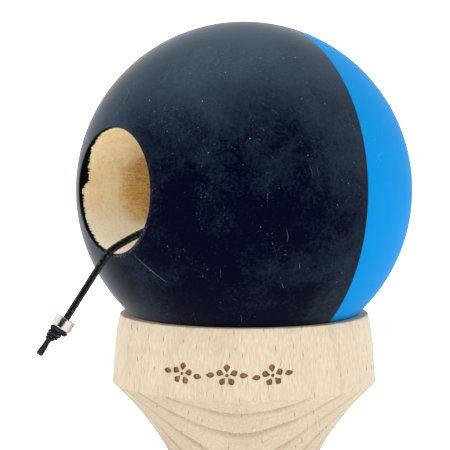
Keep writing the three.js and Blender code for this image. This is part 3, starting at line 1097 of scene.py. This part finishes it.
def worn_rubber(name, base, haze_and_sheen, shadow, mark_tone, mark_share, sheen):
    """Matte rubber: hazy with a painted sheen away from the front, lighter on top, with painted shade below
    and in the mouth's lap, scratches and specks.
    """
    look = Look(name, roughness=0.6, specular_ior_level=0.01, sheen_weight=sheen, sheen_roughness=0.3)
    place = look.place()
    from_heart = look.vector("SUBTRACT", place, tuple(BALL))
    height = look.reach(from_heart, Z)
    cloud = look.noise(place, 0.065, 5.0, 0.6, 0.4)
    grain = look.noise(place, 1.5, 5.0, 0.75)
    mottle = look.math("MULTIPLY_ADD", grain, 0.6, cloud)
    # painted sheen: the haze grows away from the side that faces the front
    side = look.remap(look.reach(from_heart, LEAST_SHEEN_WAY), *PAINTED_SHEEN_FADE, 0, PAINTED_SHEEN_HAZE)
    amount = look.math("ADD", side, look.remap(height, *TOP_FADE, 0, TOP_HAZE))
    # painted shade: less haze, so a darker coat, towards the bottom
    amount = look.math("ADD", amount, look.remap(height, *UNDER_SHADE_FADE, 0, UNDER_PAINTED_SHADE))
    uneven = look.math("SUBTRACT", mottle, MOTTLE_MIDDLE)
    amount = look.math("MULTIPLY_ADD", uneven, MOTTLE_SHARE, amount, clamp=True)
    color = look.mix(amount, base, haze_and_sheen)

    scratches = short_scratches(look, place)
    patchy = look.remap(look.noise(place, 0.16, 2.0), 0.45, 0.62, 0.15, 1.0)
    patchy = look.times(patchy, look.remap(height, -12, 18, 0.6, 1.3))
    dust = look.times(look.spindles(place, (1.0, 1.0, 1.0), (0.11, 0.11, 0.11), 0.36), patchy)
    fine_dust = look.remap(look.noise(place, 6.0, 2.0, 0.5), 0.66, 0.78)
    fine_dust = look.times(fine_dust, look.times(patchy, 0.5))
    marks = look.larger(look.times(scratches, 0.30), look.larger(dust, fine_dust))
    for scratch in LONG_SCRATCHES:
        marks = look.larger(marks, long_scratch(look, from_heart, grain, *scratch))

    along = look.reach(from_heart, MOUTH_WAY)
    off_axis = look.length(look.vector("SUBTRACT", from_heart, look.scaled(MOUTH_WAY, along)))
    in_mouth = look.math("GREATER_THAN", along, HALF_BALL)
    lip = look.times(look.remap(off_axis, MOUTH_R + LIP_BAND, MOUTH_R), in_mouth)
    lip = look.times(lip, look.remap(look.reach(from_heart, -UP_WAY), 2, 9, 0.25, 1.0))
    lip_dust = look.remap(look.noise(place, 3.2, 3.0, 0.6), 0.46, 0.66, 0.0, 0.4)
    marks = look.larger(marks, look.times(lip, lip_dust))
    color = look.mix(look.times(marks, mark_share), color, mark_tone)
    # painted shade: the coat's film that laps into the mouth is made dark
    lap = look.times(look.remap(off_axis, MOUTH_R - 0.1, MOUTH_R - 0.25), in_mouth)
    color = look.mix(lap, color, shadow)
    relief = look.math("MULTIPLY_ADD", scratches, -0.6, look.noise(place, 2.6, 4.0, 0.6))
    return look.done(color, look.remap(mottle, 0.5, 1.0, 0.56, 0.68), look.bump(relief, 0.02))


def steel():
    """Polished steel with faint brushing and a few smudges."""
    look = Look("bead_steel", metallic=1.0, roughness=0.16)
    place = look.place()
    brushed = look.streaks(place, (3, 3, 3), 5.0, 0.7)
    smudge = look.noise(place, 0.9, 3.0)
    color = look.mix(smudge, (0.74, 0.73, 0.71, 1), (0.61, 0.585, 0.54, 1))
    return look.done(color, look.remap(brushed, 0.3, 0.7, 0.09, 0.24), look.bump(brushed, 0.004))


def braided(name, groove, strand, glint):
    """Waxed braid: painted shade in the grooves, paler strand tops as painted light, painted highlights on
    fibres, and a little lint.
    """
    lint_tone = (0.16, 0.18, 0.19, 1)
    look = Look(name, roughness=0.65, specular_ior_level=0.09, sheen_weight=0.02, sheen_roughness=0.3)
    place = look.place()
    crown = look.add("Attribute", out=2, attribute_name="crown")
    fibre = look.noise(place, 5.0, 4.0, 0.7)
    patch = look.noise(place, 0.7, 3.0)
    lint = look.remap(look.noise(place, 4.2, 2.0), 0.66, 0.74, 0.0, 0.55)
    # painted shade in the grooves and painted light on the strand tops
    color = look.mix(look.remap(crown, 0.25, 0.95), groove, strand)
    # painted highlights on fibres
    shine = look.times(look.remap(fibre, 0.48, 0.72), look.remap(patch, 0.35, 0.65, 0.25, 1.0))
    color = look.mix(look.times(shine, look.remap(crown, 0.3, 0.9)), color, glint)
    color = look.mix(lint, color, lint_tone)
    return look.done(color, None, look.bump(fibre, 0.05))


def paint(piece, material):
    piece.data.materials.clear()
    piece.data.materials.append(material)


cross_piece = make_cross_piece()
ken = make_ken()
core = make_core()
navy = make_navy()
blue = make_blue()
bead = make_bead()
end_knot = make_end_knot()
lock_knot = make_lock_knot()
tie = make_tie()

# The looks of the pieces.
CROSS_PITH = (CROSS_X + 2, 62.0)
KEN_PITH = (9 - WAIST_Z, 40.0)
paint(cross_piece, beech("beech_of_cross_piece", CROSS_PITH, ring_shift=1.75, burnt=True))
paint(ken, beech("beech_of_ken", KEN_PITH, turn=(0, -90, 0), ring_step=3.1))
paint(core, bore_beech())
paint(bead, steel())

NAVY = (0.0005, 0.0010, 0.0085, 1)
NAVY_HAZE_AND_SHEEN = (0.036, 0.062, 0.089, 1)
NAVY_SHADOW = (0.0015, 0.0018, 0.0025, 1)
DUST = (0.42, 0.47, 0.52, 1)
BLUE = (0.0005, 0.198, 0.52, 1)
BLUE_HAZE_AND_SHEEN = (0.007, 0.228, 0.555, 1)
BLUE_DUST = (0.20, 0.48, 0.90, 1)
paint(navy, worn_rubber("navy_rubber", NAVY, NAVY_HAZE_AND_SHEEN, NAVY_SHADOW, DUST, 0.66, 0.45))
paint(blue, worn_rubber("blue_rubber", BLUE, BLUE_HAZE_AND_SHEEN, BLUE, BLUE_DUST, 0.3, 0.1))

CORD_TONES = (0.001, 0.0012, 0.0013, 1), (0.012, 0.017, 0.019, 1), (0.20, 0.24, 0.26, 1)
TIE_TONES = (0.02, 0.023, 0.03, 1), (0.03, 0.033, 0.04, 1), (0.10, 0.11, 0.12, 1)
black_braid = braided("cord_black", *CORD_TONES)
for knotted in (cord, end_knot, lock_knot):
    paint(knotted, black_braid)
paint(tie, braided("tie_band", *TIE_TONES))

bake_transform(cord)
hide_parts("string_in_ball", "string_ball_to_coil", "string_coil", "string_to_cross_piece")


# The room: a white floor and soft light all round, dimmer in front. Polished steel mirrors a narrower dim
# spot there, and a brighter left side. Lights are in metres and watts; a spot's edges are cosines.
FLOOR_HALF = 30000.0
FLOOR_TONE = (0.86, 0.86, 0.86, 1)
FLOOR_FADE = 75, 220
FLOOR_GLOW = 0.08, 1.05
FLOOR_IN_MIRROR = 0.1
DIM_WAY = unit((-0.178, -0.978, 0.108))
DIM_FADE = 0.05, 0.75
SIDE_GLOW = 0.98
FRONT_GLOW = 0.16
DIM_EDGE = 0.72, 0.86
DIM_CORE = 0.05
MIRROR_EDGE = 0.78, 0.88
MIRROR_GLOW = 0.92
MIRROR_CORE = 0.03
MIRROR_RIGHT = (0.9, -0.1, 0.3)
MIRROR_FADE = -0.8, 0.8
MIRROR_SIDES = 1.35, 0.75
LIGHTS = [
    ("key", (-0.36, -0.74, 0.76), (0.3, 0.3), 2.9),
    ("bore", (-0.8, -0.62, 0.55), (0.4, 0.4), 2.7),
    ("fill", (0.9, -0.45, 0.4), (0.6, 0.8), 3.5),
    ("top", (-0.25, 0.35, 1.1), (1.2, 0.8), 6),
]


def make_floor():
    corners = [(sx * FLOOR_HALF, sy * FLOOR_HALF, 0) for sx, sy in ((-1, -1), (1, -1), (1, 1), (-1, 1))]
    floor = link_mesh("floor", np.array(corners), [(0, 1, 2, 3)])
    look = Look("floor_white", roughness=0.9, specular_ior_level=0.0)
    look.shader.inputs["Emission Color"].default_value = (1, 1, 1, 1)
    glow = look.remap(look.length(look.place()), *FLOOR_FADE, *FLOOR_GLOW)
    mirrored = look.add("LightPath", out="Is Glossy Ray")
    glow = look.times(glow, look.remap(mirrored, 0, 1, 1.0, FLOOR_IN_MIRROR))
    look.join(glow, look.shader.inputs["Emission Strength"])
    paint(floor, look.done(FLOOR_TONE))


def make_light(name, place, size, power):
    """An area light that points at the ball, and that polished steel doesn't mirror."""
    light = bpy.data.objects.new(name, bpy.data.lights.new(name, "AREA"))
    bpy.context.scene.collection.objects.link(light)
    light.location = Vector(place)
    light.rotation_mode = "QUATERNION"
    light.rotation_quaternion = (Vector(BALL * MM) - Vector(place)).to_track_quat("-Z", "Y")
    light.data.shape = "RECTANGLE"
    light.data.size, light.data.size_y = size
    light.data.energy = power
    light.visible_glossy = False


def make_world():
    world = bpy.data.worlds.new("studio")
    bpy.context.scene.world = world
    world.use_nodes = True
    sky = Nodes(world.node_tree)
    way = sky.add("TexCoord", out="Generated")
    facing = sky.reach(way, DIM_WAY)
    lit = sky.remap(facing, *DIM_FADE, SIDE_GLOW, FRONT_GLOW, "LINEAR")
    lit = sky.times(lit, sky.remap(facing, *DIM_EDGE, 1.0, DIM_CORE))
    sides = sky.remap(sky.reach(way, MIRROR_RIGHT), *MIRROR_FADE, *MIRROR_SIDES, "LINEAR")
    in_mirror = sky.times(sky.remap(facing, *MIRROR_EDGE, MIRROR_GLOW, MIRROR_CORE), sides)
    glow = sky.add("Mix", {0: sky.add("LightPath", out="Is Glossy Ray"), 2: lit, 3: in_mirror})
    glow = sky.add("Mix", {0: sky.add("LightPath", out="Is Camera Ray"), 2: glow, 3: 1.0})
    background = world.node_tree.nodes["Background"]
    sky.join(glow, background.inputs["Strength"])
    background.inputs["Color"].default_value = (1, 1, 1, 1)


make_floor()
make_world()
for light in LIGHTS:
    make_light(*light)
bpy.context.scene.view_settings.view_transform = "Standard"
